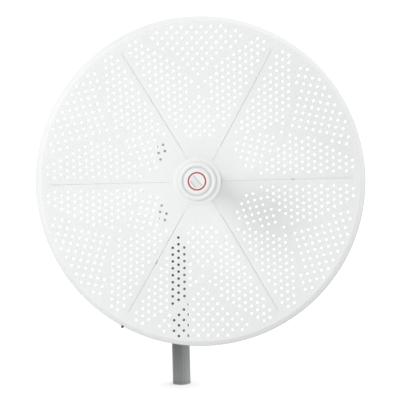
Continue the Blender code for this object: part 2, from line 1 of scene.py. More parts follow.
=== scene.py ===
"""The looks of a microwave dish antenna: a perforated dish of six petals with its feed,
the bracket that tilts it, and its mast. Laid out as an add-on, and run as a script.

Lengths are in metres. The dish has a frame of its own: the origin is the bowl's vertex,
Z points forward along the dish axis, and X points right as seen from in front.
"""

import math
from contextlib import contextmanager

import bpy
from bpy.props import FloatProperty, FloatVectorProperty, IntProperty, PointerProperty
from mathutils import Matrix, Vector


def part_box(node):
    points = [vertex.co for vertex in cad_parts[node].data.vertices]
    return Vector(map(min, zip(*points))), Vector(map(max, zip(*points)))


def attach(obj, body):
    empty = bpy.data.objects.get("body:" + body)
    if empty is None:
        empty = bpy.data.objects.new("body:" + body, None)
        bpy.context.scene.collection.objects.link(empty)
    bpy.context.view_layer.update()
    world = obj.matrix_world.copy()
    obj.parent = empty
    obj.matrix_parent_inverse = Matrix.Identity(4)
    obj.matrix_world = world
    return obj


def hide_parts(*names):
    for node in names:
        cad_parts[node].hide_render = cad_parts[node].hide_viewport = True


bl_info = {
    "name": "Microwave Dish Antenna",
    "version": (1, 0, 0),
    "blender": (4, 5, 0),
    "location": "3D View > Sidebar > Dish",
    "description": "Dresses a perforated dish antenna, its feed, bracket and mast",
    "category": "Add Mesh",
}

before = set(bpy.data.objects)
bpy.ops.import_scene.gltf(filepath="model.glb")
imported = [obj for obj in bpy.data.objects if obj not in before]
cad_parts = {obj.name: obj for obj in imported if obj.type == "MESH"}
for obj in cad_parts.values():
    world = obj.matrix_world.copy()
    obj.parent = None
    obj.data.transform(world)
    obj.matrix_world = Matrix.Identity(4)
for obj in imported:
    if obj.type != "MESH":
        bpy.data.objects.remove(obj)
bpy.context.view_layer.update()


def at(x, y, z):
    return Matrix.Translation((x, y, z))


def turn_about(axis, angle):
    return Matrix.Rotation(angle, 4, axis)


# Places and sizes read from the frame
HUB_DEPTH = 0.025
AXIS_X = sum(corner.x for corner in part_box("feed_tube")) / 2
AXIS_Z = sum(corner.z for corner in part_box("feed_tube")) / 2
VERTEX_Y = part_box("hub_casting")[1].y - HUB_DEPTH
MAST_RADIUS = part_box("mast_tube")[1].x

# Turns that carry local Z to the dish's forward direction, to the right, and to the rear
FORWARD = turn_about("X", math.radians(90))
SIDEWAYS = Matrix(((0, 0, 1, 0), (1, 0, 0, 0), (0, 1, 0, 0), (0, 0, 0, 1)))
DISH_BACK = turn_about("X", math.pi)
DISH = at(AXIS_X, VERTEX_Y, AXIS_Z) @ FORWARD

PETALS = 6
HALF_SECTOR = math.pi / PETALS
CLEARANCE = 0.0003
MERGE = 0.00002
SMOOTH_ANGLE = math.radians(35)
TURN_STEPS = 96
SMALL_STEPS = 40

# Proportions of a bolt, as shares of its shank's radius, and the length past its nut
CORNER_SHARE = 1.87
HEAD_SHARE = 1.3
NUT_SHARE = 1.6
WASHER_SHARE = 0.26
BOLT_TAIL = 0.004


# Settings that a user may change


def amount(name, description, default, **kind):
    return FloatProperty(name=name, description=description, default=default, **kind)


def length(name, description, default):
    return amount(name, description, default, unit="LENGTH", precision=5)


def angle(name, description, default):
    return amount(name, description, default, subtype="ANGLE")


def triple(name, description, default, kind, **limits):
    return FloatVectorProperty(
        name=name, description=description, default=default, subtype=kind, size=3, **limits
    )


def colour(name, description, default):
    return triple(name, description, default, "COLOR", min=0.0, max=1.0)


class DishSizes(bpy.types.PropertyGroup):
    """The pressed petals and the flanges behind their seams."""

    focal_length: length("Focal length", "Of the bowl's paraboloid", 0.230)
    petal_inner: length("Inner radius", "Where the petals end under the collar", 0.034)
    bowl_radius: length("Bowl radius", "Where the bowl passes into the lip", 0.3136)
    rim_radius: length("Rim radius", "Outside of the rolled lip", 0.325)
    lip_skirt: length("Lip skirt", "How far the lip runs straight back", 0.006)
    lip_lean: angle("Lip lean", "How far the lip's band leans outward", 0.54)
    lip_crease: length("Lip crease", "Rounding where the bowl passes into the lip", 0.0016)
    lip_edge: length("Lip edge", "Rounding of the lip's outer edge", 0.0030)
    petal_thick: length("Sheet", "Thickness of the petals' sheet", 0.0018)
    seam_gap: length("Seam gap", "From a petal's edge line to the dish axis", 0.00018)
    seam_taper: angle("Seam taper", "How far a seam closes outwards", 0.0004)
    fold_width: length("Fold", "Width of the rounded fold at a seam", 0.0010)
    flange_inner: length("Flange start", "Radius where the seam flanges start", 0.0815)
    flange_outer: length("Flange end", "Radius where the seam flanges end", 0.303)
    flange_depth: length("Flange depth", "Of the flanges behind the seams", 0.0135)


class PunchSizes(bpy.types.PropertyGroup):
    """The holes of a petal, as places along its centre line and across it."""

    hole_radius: length("Hole radius", "Of every punched hole", 0.0027)
    pitch: length("Pitch", "From hole to hole along a row of the flanks", 0.01366)
    flank_across: length("First flank row", "From the petal's centre line", 0.00205)
    flank_start: length("Flank start", "Place of a flank row's holes along the petal", 0.00490)
    outer_start: length("Outer start", "Place of the outer field's holes along the petal", 0.2171)
    inner_start: length("Inner start", "Place of the inner field's holes along the petal", 0.09556)
    flank_limit: length("Flank limit", "Largest radius of a flank's hole", 0.305)
    outer_limit: length("Outer limit", "Largest radius of the outer field's holes", 0.309)
    seam_strip: length("Seam strip", "Plain strip beside a seam", 0.010)


class FeedSizes(bpy.types.PropertyGroup):
    """The turned shapes of the feed."""

    collar_edge: length("Collar edge", "Height of the collar at its edge", 0.008)
    collar_root: length("Collar root", "Height of the collar at its sleeve", 0.013)
    sleeve_radius: length("Sleeve radius", "Outside of the collar's sleeve", 0.030)
    disc_front: length("Disc front", "Height of the disc's flat face", 0.2388)
    ridge_inner: length("Ridge inside", "Inner radius of the raised ridge", 0.0265)
    ridge_crest: length("Ridge crest", "Radius of the ridge's crest", 0.0312)
    ridge_outer: length("Ridge outside", "Outer radius of the raised ridge", 0.0352)
    ridge_height: length("Ridge height", "Of the ridge over the disc", 0.0058)
    groove_floor: length("Groove floor", "Height of the groove round the button", 0.2411)
    button_face: length("Button face", "Radius of the button's flat face", 0.0208)
    button_edge: length("Button edge", "Rounding at the edge of the button's face", 0.0030)
    button_foot: length("Button foot", "Radius of the button's sloping side at the groove", 0.0259)
    label_radius: length("Label radius", "Of the round label on the button", 0.0172)


class BracketSizes(bpy.types.PropertyGroup):
    """The edges and marks of the brackets and clamps."""

    sheet_bevel: length("Sheet edge", "Rounding of the bent sheet's edges", 0.0006)
    clip_bevel: length("Clip edge", "Rounding of the seam clips' edges", 0.0005)
    cast_bevel: length("Casting edge", "Rounding of the castings' edges", 0.0012)
    pivot_y: length("Pivot", "Place of the tilt pivot along Y", -0.086)
    scale_inner: length("Scale inside", "Radius where the tilt marks start", 0.0512)
    scale_outer: length("Scale outside", "Radius where the long tilt marks end", 0.0578)
    scale_marks: IntProperty(name="Marks", description="Number of tilt marks", default=9, min=3)


class FinishColours(bpy.types.PropertyGroup):
    """The colour of each finish, before its variation."""

    coat: colour("Petal coat", "White powder coat", (0.710, 0.722, 0.717))
    plastic: colour("Feed plastic", "White moulded plastic", (0.60, 0.612, 0.607))
    label: colour("Label", "The label's ground", (0.62, 0.62, 0.62))
    ring: colour("Label ring", "The label's ring", (0.34, 0.030, 0.026))
    ruling: colour("Label lines", "The label's ruled lines", (0.27, 0.29, 0.30))
    casting: colour("Casting", "Grey coat of the castings", (0.47, 0.48, 0.48))
    steel: colour("Steel", "Galvanised sheet steel", (0.50, 0.51, 0.50))
    tube: colour("Mast", "Weathered galvanised tube", (0.187, 0.195, 0.191))
    zinc: colour("Zinc", "Plated bolts", (0.62, 0.61, 0.57))
    black: colour("Black", "Moulded plastic and rubber", (0.022, 0.022, 0.024))


class StageSettings(bpy.types.PropertyGroup):
    """The camera, the lights and the floor."""

    camera_place: triple("Camera", "Place of the camera", (0.1239, -2.1763, 0.4466), "TRANSLATION")
    camera_yaw: angle("Yaw", "Turn of the camera to the right", -0.03354)
    camera_pitch: angle("Pitch", "Tilt of the camera upwards", -0.01628)
    camera_roll: angle("Roll", "Roll of the camera", -0.02380)
    lens: amount("Lens", "Focal length in millimetres", 87.35)
    room: amount("Room light", "Mean strength of the white room", 0.84)
    room_lean: triple("Room lean", "Extra light from the right, rear and top", (0.24, 0.25, 0.55), "XYZ")
    key_place: triple("Key light", "Place of the key light", (-0.375, -0.975, 0.670), "TRANSLATION")
    key_power: amount("Key power", "Watts of the key light", 3.0)
    key_size: length("Key size", "Width of the key light", 0.42)
    floor: colour("Floor", "The pale floor", (0.80, 0.80, 0.80))
    floor_glow: amount("Floor glow", "Light from under the floor", 0.15)


# Selecting, and starting and ending a piece


def deselect():
    bpy.ops.object.select_all(action="DESELECT")


def pick(piece):
    """Makes a piece the only selected one, and the active one."""
    deselect()
    piece.select_set(True)
    bpy.context.view_layer.objects.active = piece


@contextmanager
def editing(piece, wanted=None):
    """Edit mode with all of a piece selected, or only the edges whose two ends pass a test."""
    pick(piece)
    bpy.ops.object.mode_set(mode="EDIT")
    bpy.ops.mesh.select_mode(type="EDGE")
    bpy.ops.mesh.select_all(action="DESELECT" if wanted else "SELECT")
    if wanted:
        bpy.ops.object.mode_set(mode="OBJECT")
        points = piece.data.vertices
        for edge in piece.data.edges:
            edge.select = wanted(*(points[index].co for index in edge.vertices))
        bpy.ops.object.mode_set(mode="EDIT")
    yield
    bpy.ops.object.mode_set(mode="OBJECT")


def start(name, operator, **settings):
    """A new primitive, with its place and turn applied."""
    deselect()
    operator(**settings)
    piece = bpy.context.object
    piece.name = name
    piece.data.name = name
    bpy.ops.object.transform_apply(location=True, rotation=True, scale=True)
    return piece


def set_at(piece, place):
    """Moves a piece by this matrix, and applies the move to its mesh."""
    pick(piece)
    piece.matrix_world = place @ piece.matrix_world
    bpy.ops.object.transform_apply(location=True, rotation=True, scale=True)
    return piece


def copy_of(piece, name):
    """A copy with a mesh of its own."""
    copied = piece.copy()
    copied.data = piece.data.copy()
    copied.name = name
    copied.data.name = name
    bpy.context.scene.collection.objects.link(copied)
    return copied


def twin(piece, name, place=Matrix()):
    """A copy set at this place."""
    return set_at(copy_of(piece, name), place)


def discard(piece):
    bpy.data.objects.remove(piece, do_unlink=True)


def join(name, pieces):
    """Several pieces made into one object."""
    deselect()
    for piece in pieces:
        piece.select_set(True)
    bpy.context.view_layer.objects.active = pieces[0]
    bpy.ops.object.join()
    pieces[0].name = name
    return pieces[0]


def repeated(name, sample, places):
    """One object made of a copy of the sample at each place. The sample goes."""
    copies = [twin(sample, name, place) for place in places]
    discard(sample)
    return join(name, copies)


def apply_modifier(piece, kind, **settings):
    pick(piece)
    bpy.ops.object.modifier_add(type=kind)
    modifier = piece.modifiers[-1]
    for setting, value in settings.items():
        setattr(modifier, setting, value)
    bpy.ops.object.modifier_apply(modifier=modifier.name)
    return piece


def cut(piece, cutter, operation="DIFFERENCE"):
    apply_modifier(piece, "BOOLEAN", operation=operation, solver="EXACT", object=cutter)
    discard(cutter)
    return piece


def round_edges(piece, width, segments=2):
    sharp = math.radians(40)
    return apply_modifier(
        piece, "BEVEL", width=width, segments=segments, limit_method="ANGLE", angle_limit=sharp
    )


def done(piece, body, slot, finish, *nodes):
    """Gives a piece its finish, lets it ride on its body, and hides the nodes that it stands for."""
    pick(piece)
    bpy.ops.object.shade_smooth_by_angle(angle=SMOOTH_ANGLE)
    piece.data.materials.clear()
    piece.data.materials.append(finish_of(finish))
    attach(piece, body)
    if nodes:
        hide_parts(*nodes)


def done_on_dish(piece, slot, finish, *nodes):
    """Ends a piece that was made in the dish's own frame."""
    done(set_at(piece, DISH), "dish", slot, finish, *nodes)


def done_feed(piece, *nodes):
    done_on_dish(piece, "feed", white_moulded_plastic, *nodes)


def copy_of_node(node, name):
    """A copy of a CAD node's mesh, with its doubles merged and its flat faces whole."""
    piece = twin(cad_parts[node], name)
    piece.parent = None
    piece.matrix_world = Matrix()
    for key in list(piece.keys()):
        del piece[key]
    with editing(piece):
        bpy.ops.mesh.remove_doubles(threshold=MERGE)
        bpy.ops.mesh.dissolve_limited(angle_limit=math.radians(1.0))
    return piece


def dress_node(node, suffix, width, body, slot, finish, segments=2):
    """Replaces a CAD node by a copy of itself with rounded edges and a finish."""
    piece = round_edges(copy_of_node(node, node + suffix), width, segments)
    done(piece, body, slot, finish, node)


# Shapes


def spread(first, last, count):
    return [first + (last - first) * i / (count - 1) for i in range(count)]


def arc(centre, radius, first, last, count):
    """Points along an arc about centre, from one angle to another."""
    return [
        (centre[0] + radius * math.cos(a), centre[1] + radius * math.sin(a))
        for a in spread(first, last, count)
    ]


def rounded_corner(radius, height, edge, count=5):
    """A quarter round from the face at this height to the side at this radius."""
    return arc((radius - edge, height - edge), edge, math.pi / 2, 0.0, count)


def band(slim, wide, top, width, slope):
    """A raised band round a turned piece, with a slope above and below it."""
    return [(slim, top), (wide, top - slope), (wide, top - width + slope), (slim, top - width)]


def mirrored(profile, both_heights):
    """A profile with its mirror image below it. The two heights of each pair have this sum."""
    return profile + [(x, both_heights - z) for x, z in reversed(profile)]


def turned(name, profile, steps=TURN_STEPS, ends="FILL"):
    """A circle about Z, extruded and scaled from each (radius, height) to the next.

    The ends are filled, or left OPEN, or JOINed where the profile comes back to its start.
    """
    radius, height = profile[0]
    piece = start(
        name, bpy.ops.mesh.primitive_circle_add, vertices=steps, radius=radius, location=(0, 0, height)
    )
    with editing(piece):
        for next_radius, next_height in profile[1:]:
            rise = next_height - height
            bpy.ops.mesh.extrude_region_move(TRANSFORM_OT_translate={"value": (0, 0, rise)})
            growth = next_radius / radius
            bpy.ops.transform.resize(value=(growth, growth, 1), center_override=(0, 0, next_height))
            radius = next_radius
            height = next_height
        bpy.ops.mesh.select_all(action="SELECT")
        if ends == "JOIN":
            bpy.ops.mesh.remove_doubles(threshold=MERGE)
        if ends == "FILL":
            bpy.ops.mesh.fill_holes(sides=0)
        if ends != "OPEN":
            bpy.ops.mesh.normals_make_consistent(inside=False)
    return piece


def block(name, size, centre, edge):
    """A box with rounded edges."""
    piece = start(name, bpy.ops.mesh.primitive_cube_add, size=1, scale=size, location=centre)
    return round_edges(piece, edge)


def hexagon(name, corner_radius, low, high, both_ends=False):
    """A hexagon whose corners are chamfered at its top, and on a nut at its foot too."""
    piece = start(
        name, bpy.ops.mesh.primitive_cylinder_add, vertices=6, radius=corner_radius,
        depth=high - low, location=(0, 0, (low + high) / 2),
    )
    flat = corner_radius * math.cos(math.pi / 6) * 0.97
    fall = (corner_radius - flat) * 0.55
    spare = corner_radius * 0.1
    profile = [(flat, high + spare * 0.1), (flat, high), (corner_radius, high - fall)]
    if both_ends:
        profile += [(corner_radius, low + fall), (flat, low), (flat, low - spare * 0.1)]
    else:
        profile += [(corner_radius, low - spare)]
    return cut(piece, turned(name + "_chamfer", profile, SMALL_STEPS), "INTERSECT")


def thread_profile(radius, top, foot, pitch=0.00125):
    """A saw edge between two heights, which shows as a thread."""
    depth = pitch * 0.45
    turns = max(1, round((top - foot) / pitch))
    step = (top - foot) / turns
    profile = [(radius - depth, top)]
    for turn in range(turns):
        profile.append((radius, top - (turn + 0.5) * step))
        profile.append((radius - depth, top - (turn + 1) * step))
    return profile


def hex_bolt(name, radius, grip, tail=BOLT_TAIL):
    """A bolt along Z: its head's washer stands on zero, and its nut's washer hangs at minus grip."""
    corner_radius = radius * CORNER_SHARE
    nut = radius * NUT_SHARE
    washer = radius * WASHER_SHARE
    pieces = [hexagon(name, corner_radius, washer, radius * HEAD_SHARE)]
    pieces.append(hexagon(name + "_nut", corner_radius, -grip - nut, -grip - washer, both_ends=True))
    for low in (0.0, -grip - washer):
        upper = rounded_corner(radius * 2.05, low + washer, washer * 0.3, 3)
        pieces.append(turned(name + "_washer", mirrored(upper, 2 * low + washer), SMALL_STEPS))
    end = -grip - nut - tail
    core = radius * 0.98
    profile = [(core, washer), (core, -grip - washer)]
    profile += thread_profile(radius, -grip - washer, end + radius * 0.2)
    profile += [(radius * 0.72, end)]
    pieces.append(turned(name + "_shank", profile, SMALL_STEPS))
    return join(name, pieces)


def socket_screw(name, radius, height):
    """A button-head screw standing on zero, with a hexagonal socket in its head."""
    profile = [(radius * 0.42, height)]
    profile += [
        (radius * (0.42 + 0.58 * math.sin(a)), height * math.cos(a) * 0.86 + height * 0.14)
        for a in spread(0.2, math.pi / 2, 6)
    ]
    profile += [(radius, -0.0002)]
    screw = turned(name, profile, SMALL_STEPS)
    recess = start(
        name + "_recess", bpy.ops.mesh.primitive_cylinder_add, vertices=6, radius=radius * 0.36,
        depth=height * 1.3, location=(0, 0, height),
    )
    return cut(screw, recess)


def round_dish_axis(count, first=0.0):
    """Turns about the dish axis, in the dish's own frame."""
    return [turn_about("Z", first + math.tau * i / count) for i in range(count)]


# Finishes


def maths(operation, reflected=False):
    """A method that adds a Math node, with the two values swapped where it is reflected."""

    def method(wire, other=0.0):
        first, second = (other, wire) if reflected else (wire, other)
        return wire.finish.node("Math", {"operation": operation}, {0: first, 1: second})

    return method


class Wire:
    """A value in a finish. Arithmetic on it adds Math nodes."""

    def __init__(self, finish, socket):
        self.finish = finish
        self.socket = socket

    __add__ = maths("ADD")
    __radd__ = maths("ADD", reflected=True)
    __sub__ = maths("SUBTRACT")
    __rsub__ = maths("SUBTRACT", reflected=True)
    __mul__ = maths("MULTIPLY")
    __rmul__ = maths("MULTIPLY", reflected=True)
    __pow__ = maths("POWER")
    __rpow__ = maths("POWER", reflected=True)
    __gt__ = maths("GREATER_THAN")
    __lt__ = maths("LESS_THAN")
    __abs__ = maths("ABSOLUTE")


class Finish:
    """A material being made, with its nodes and the shader that they feed."""

    def __init__(self, name, base, roughness, metallic=0.0):
        self.material = bpy.data.materials.new(name)
        self.material.use_nodes = True
        self.material.diffuse_color = (*base, 1.0)
        self.base = base
        self.shader = self.material.node_tree.nodes["Principled BSDF"]
        self.feed({"Base Color": (*base, 1.0), "Roughness": roughness, "Metallic": metallic})

    def feed(self, values, node=None):
        """Sets a node's sockets to values, or links wires to them."""
        node = node or self.shader
        for key, value in values.items():
            if isinstance(value, Wire):
                self.material.node_tree.links.new(value.socket, node.inputs[key])
            else:
                node.inputs[key].default_value = value

    def node(self, kind, settings, values, output=0):
        """A new node, with its settings first and then its sockets, as a wire from one output."""
        made = self.material.node_tree.nodes.new("ShaderNode" + kind)
        for setting, value in settings.items():
            setattr(made, setting, value)
        self.feed(values, made)
        return Wire(self, made.outputs[output])

    def place(self, scale=(1, 1, 1), move=(0, 0, 0)):
        """The place on the piece, moved and scaled."""
        here = self.node("TexCoord", {}, {}, "Object")
        return self.node("Mapping", {}, {"Vector": here, "Location": move, "Scale": scale})

    def across_and_up(self, move=(0, 0, 0)):
        """The place on the piece to the right, and upwards."""
        here = self.place(move=move)
        return [self.node("SeparateXYZ", {}, {0: here}, output) for output in (0, 2)]

    def from_axis(self):
        """The place to the right of the dish axis, above it, and the distance from it."""
        across, up = self.across_and_up((-AXIS_X, 0.0, -AXIS_Z))
        return across, up, (across * across + up * up) ** 0.5

    def noise(self, scale, detail=2.0, stretch=(1, 1, 1)):
        values = {"Vector": self.place(stretch), "Scale": scale, "Detail": detail}
        return self.node("TexNoise", {}, values)

    def blend(self, factor, low, high):
        """A mix of two colours."""
        return self.node("Mix", {"data_type": "RGBA"}, {0: factor, 6: low, 7: high}, 2)

    def shade(self, factor, dark, light):
        """The finish's own colour between a darker and a lighter share of it."""
        low = [value * dark for value in self.base] + [1.0]
        high = [min(1.0, value * light) for value in self.base] + [1.0]
        return self.blend(factor, low, high)

    def step(self, value, low, high):
        """A smooth rise from 0 at low to 1 at high."""
        return self.node("MapRange", {"interpolation_type": "SMOOTHSTEP"}, {0: value, 1: low, 2: high})

    def surface(self, tone, roughness, height, distance, strength):
        """Feeds the shader a colour, a roughness and a bump, and ends the finish."""
        values = {"Height": height, "Distance": distance, "Strength": strength}
        normal = self.node("Bump", {}, values)
        self.feed({"Base Color": tone, "Roughness": roughness, "Normal": normal})
        return self.material


def finish_of(maker):
    """The material that a function makes, made the first time that it is asked for."""
    known = bpy.data.materials.get(maker.__name__)
    return known or maker(bpy.context.scene.finish_colours)


def white_powder_coat(colours):
    """Smooth white coat with a fine orange peel. Painted shade darkens it towards the rim, under the
    rim's lip and along the lip's lower right edge, and a painted highlight lightens the lip's upper
    right.
    """
    coat = Finish("white_powder_coat", colours.coat, 0.42)
    coat.feed({"IOR": 1.46})
    cloudy = coat.noise(9.0, 3.0)
    speckle = coat.noise(240.0, 2.0)
    peel = coat.noise(700.0, 1.0)
    across, up, reach = coat.from_axis()
    # Painted shade: the coat darkens from the middle of the bowl towards the rim.
    outward_painted_shade = coat.step(reach, 0.06, 0.30)
    lip = coat.step(reach, 0.3130, 0.3180)
    # A mask for the lower side, where painted shade darkens the lip and its outer edge.
    low = coat.step(across * 0.2 - up * 0.9, -0.02, 0.30)
    # Painted shade: a thin dark line along the lip's outer edge on its lower right.
    edge = coat.step(reach, 0.3226, 0.3246) * coat.step(across * 0.5 - up * 0.8, 0.05, 0.30)
    # Painted highlight: on the lip's upper right the outward painted shade is taken back and the coat is
    # made a little lighter.
    painted_lip_highlight = (lip - lip * low) * coat.step(across, -0.15, 0.15)
    # Brightness of the coat: the painted shade towards the rim, under the lip and on its edge, and the
    # painted highlight on the lip.
    painted_light_and_shade = 0.84 - (outward_painted_shade - painted_lip_highlight) * 0.23 + painted_lip_highlight * 0.06 - lip * low * 0.16 - edge * 1.1
    tone = coat.shade(cloudy * 0.12 + speckle * 0.03 + painted_light_and_shade * 0.8, 0.62, 1.12)
    return coat.surface(tone, 0.36 + cloudy * 0.14, peel, 0.00008, 0.35)


def white_moulded_plastic(colours):
    """White plastic with the fine grain of its mould."""
    plastic = Finish("white_moulded_plastic", colours.plastic, 0.48)
    cloudy = plastic.noise(30.0, 2.0)
    grain = plastic.noise(1500.0, 2.0)
    return plastic.surface(plastic.shade(cloudy, 0.975, 1.02), 0.44 + grain * 0.12, grain, 0.00005, 0.3)


def printed_label(colours):
    """A plain round label with a coloured ring and ruled lines."""
    label = Finish("printed_label", colours.label, 0.35)
    radius = bpy.context.scene.feed_sizes.label_radius
    across, up, distance = label.from_axis()
    ring = (distance > radius * 0.83) * (distance < radius * 0.985)
    inside = distance < radius * 0.70
    lean = math.radians(38)
    over = across * math.cos(lean) + up * math.sin(lean)
    pitch = 0.0030
    fine = label.node("Math", {"operation": "PINGPONG"}, {0: over + 0.0065, 1: pitch / 2})
    field = (over > -0.0068) * (over < 0.0004)
    lines = (fine < pitch * 0.17) * field * 0.6
    bold = (abs(over - 0.0021) < 0.0007) + (abs(over + 0.0092) < 0.0009)
    ink = (lines + bold * 0.95) * inside
    ruled = label.blend(ink, (*colours.label, 1.0), (*colours.ruling, 1.0))
    label.feed({"Base Color": label.blend(ring, ruled, (*colours.ring, 1.0))})
    label.feed({"Roughness": 0.30 + label.noise(90.0) * 0.12})
    return label.material


def grey_casting(colours):
    """Coated die casting, a little grainy and mottled."""
    casting = Finish("grey_casting", colours.casting, 0.5, 0.15)
    mottle = casting.noise(55.0, 4.0)
    grain = casting.noise(800.0, 3.0)
    return casting.surface(casting.shade(mottle, 0.86, 1.12), 0.42 + grain * 0.22, grain, 0.00018, 0.5)


def galvanised_steel(colours):
    """Hot-dip zinc on sheet steel, with its spangle and a dull bloom."""
    steel = Finish("galvanised_steel", colours.steel, 0.45, 0.55)
    drift = steel.noise(60.0, 3.0)
    grain = steel.noise(420.0, 3.0)
    cells = steel.node("TexVoronoi", {}, {"Vector": steel.place(), "Scale": 130.0}, "Color")
    spangle = steel.node("SeparateColor", {}, {0: cells}, 0)
    tone = steel.shade(spangle * 0.55 + drift * 0.45, 0.80, 1.16)
    return steel.surface(tone, 0.34 + spangle * 0.16 + drift * 0.12, grain, 0.00012, 0.35)


def weathered_tube(colours):
    """Dull galvanised tube with streaks down its length, with painted light on its right side and
    painted shade that darkens it from its foot upwards, under the dish.
    """
    tube = Finish("weathered_tube", colours.tube, 0.42, 0.35)
    streaks = tube.noise(1.0, 3.0, stretch=(260.0, 260.0, 4.0))
    blotches = tube.noise(38.0, 4.0)
    grain = tube.noise(900.0, 2.0)
    side, up = tube.across_and_up()
    # Painted light: the tube's right side is made paler.
    painted_light_on_right = tube.step(side, -0.004, 0.014)
    # Painted shade: the tube darkens from its foot upwards, under the dish.
    painted_shade_towards_dish = 1.0 - tube.step(up, 0.0, 0.12) * 0.72 - tube.step(up, 0.12, 0.17) * 0.28
    tone = tube.shade(painted_light_on_right * 0.20 + painted_shade_towards_dish * 0.40 + streaks * 0.36 + blotches * 0.04, 0.02, 1.98)
    return tube.surface(tone, 0.36 + streaks * 0.16, grain * 0.5 + streaks * 0.5, 0.0002, 0.4)


def plated_zinc(colours):
    """Bright plated steel with a fine grain and a faint yellow cast."""
    zinc = Finish("plated_zinc", colours.zinc, 0.3, 0.9)
    drift = zinc.noise(180.0, 3.0)
    grain = zinc.noise(2200.0, 2.0)
    return zinc.surface(zinc.shade(drift, 0.84, 1.12), 0.24 + drift * 0.18, grain, 0.00004, 0.4)


def black_plastic(colours):
    """Black moulded plastic, a little dusty."""
    plastic = Finish("black_plastic", colours.black, 0.55)
    dust = plastic.noise(70.0, 4.0)
    grain = plastic.noise(900.0, 2.0)
    return plastic.surface(plastic.shade(dust, 0.8, 1.9), 0.46 + dust * 0.2, grain, 0.00008, 0.4)


# Dish


def bowl_height(radius):
    """How far ahead of the vertex the reflecting face is at this radius."""
    return radius * radius / (4 * bpy.context.scene.dish_sizes.focal_length)


def bowl_slope(radius):
    return math.atan(radius / (2 * bpy.context.scene.dish_sizes.focal_length))


def lip_round(sizes):
    """The middle and radius of a round as wide as the lip, which place its skirt and the plug."""
    slope = bowl_slope(sizes.bowl_radius)
    radius = (sizes.rim_radius - sizes.bowl_radius) / (1 + math.sin(slope))
    return bowl_height(sizes.bowl_radius) - radius * math.cos(slope), radius


def petal_profile(sizes):
    """The front face from under the collar to the lip, a leaning band that ends in a round edge."""
    points = [(r, bowl_height(r)) for r in spread(sizes.petal_inner, sizes.bowl_radius, 30)]
    slope = bowl_slope(sizes.bowl_radius)
    height = bowl_height(sizes.bowl_radius)
    crease = sizes.lip_crease
    centre = (sizes.bowl_radius + crease * math.sin(slope), height - crease * math.cos(slope))
    face = math.pi / 2 - sizes.lip_lean
    points += arc(centre, crease, math.pi / 2 + slope, face, 5)[1:]
    edge = sizes.lip_edge
    reach = sizes.rim_radius - edge * (1 - math.cos(face)) - points[-1][0]
    level = points[-1][1] - reach * math.tan(sizes.lip_lean) - edge * math.sin(face)
    points += arc((sizes.rim_radius - edge, level), edge, face, 0.0, 5)
    points.append((sizes.rim_radius, lip_round(sizes)[0] - sizes.lip_skirt))
    return points


def seam_normal(side, sizes):
    """Across the edge on this side of a petal that is centred on X, out of the petal."""
    turn = HALF_SECTOR + sizes.seam_taper
    return Vector((-math.sin(turn), side * math.cos(turn), 0.0))


def on_bowl(point):
    return abs(point.z - bowl_height(point.xy.length)) < 0.0001


def add_flange(petal, side, sizes):
    """Bends the petal's edge on one side backwards into a flange with a rounded fold."""
    normal = seam_normal(side, sizes)

    def on_seam(point):
        return abs(point.dot(normal) + sizes.seam_gap) < MERGE

    def along_flange(*ends):
        return all(
            sizes.flange_inner < end.xy.length < sizes.flange_outer and on_seam(end) and on_bowl(end)
            for end in ends
        )

    back = (0.0, 0.0, -sizes.flange_depth)
    with editing(petal, along_flange):
        bpy.ops.mesh.extrude_region_move(TRANSFORM_OT_translate={"value": back})
    with editing(petal, along_flange):
        bpy.ops.mesh.bevel(offset=sizes.fold_width, segments=4, affect="EDGES")


def flank_places(punch):
    """The two flanks of a petal: a field of hexagonal order, with rows along the petal."""
    row_gap = punch.pitch * math.cos(math.pi / 6)
    places = []
    for row in range(14):
        across = punch.flank_across + row * row_gap
        shift = punch.flank_start + (row % 2) * punch.pitch / 2
        for step in range(4, 24):
            along = shift + step * punch.pitch
            places += [(along, across), (along, -across)]
    return [place for place in places if in_flank(punch, *place)]


def in_flank(punch, along, across):
    """Whether a hole lies between the inner field, the outer field, the seam and the lip."""
    across = abs(across)
    from_seam = along * math.sin(HALF_SECTOR) - across * math.cos(HALF_SECTOR)
    past_inner = across > 0.014 + 0.36 * (0.200 - along)
    short_of_outer = along < 0.204 + 0.72 * across
    short_of_lip = math.hypot(along, across) < punch.flank_limit
    return from_seam > punch.seam_strip and past_inner and short_of_outer and short_of_lip


def square_places(punch, first, columns, rows):
    """A field of square order, turned by 45 degrees."""
    gap = punch.pitch / math.sqrt(2)
    places = []
    for column in range(-columns, columns + 1):
        for row in range(rows):
            along = first + (column % 2 + 2 * row) * gap
            places.append((along, column * gap))
    return places


def hole_places():
    """Every hole of a petal, as its place along the centre line and across it."""
    punch = bpy.context.scene.punch_sizes
    outer = [
        (along, across)
        for along, across in square_places(punch, punch.outer_start, 12, 6)
        if along > 0.212 + 0.78 * abs(across) and math.hypot(along, across) < punch.outer_limit
    ]
    inner = [
        (along, across)
        for along, across in square_places(punch, punch.inner_start, 3, 6)
        if abs(across) < min(0.031, 0.5 * (0.191 - along) + 0.002)
    ]
    return flank_places(punch) + outer + inner


def punch_cutter():
    """All of a petal's punches, joined."""
    radius = bpy.context.scene.punch_sizes.hole_radius
    punch = start("punch", bpy.ops.mesh.primitive_cylinder_add, vertices=16, radius=radius, depth=0.012)
    copies = []
    for along, across in hole_places():
        copied = copy_of(punch, "punches")
        copied.location = (along, across, bowl_height(math.hypot(along, across)) - 0.001)
        copies.append(copied)
    discard(punch)
    return join("punches", copies)


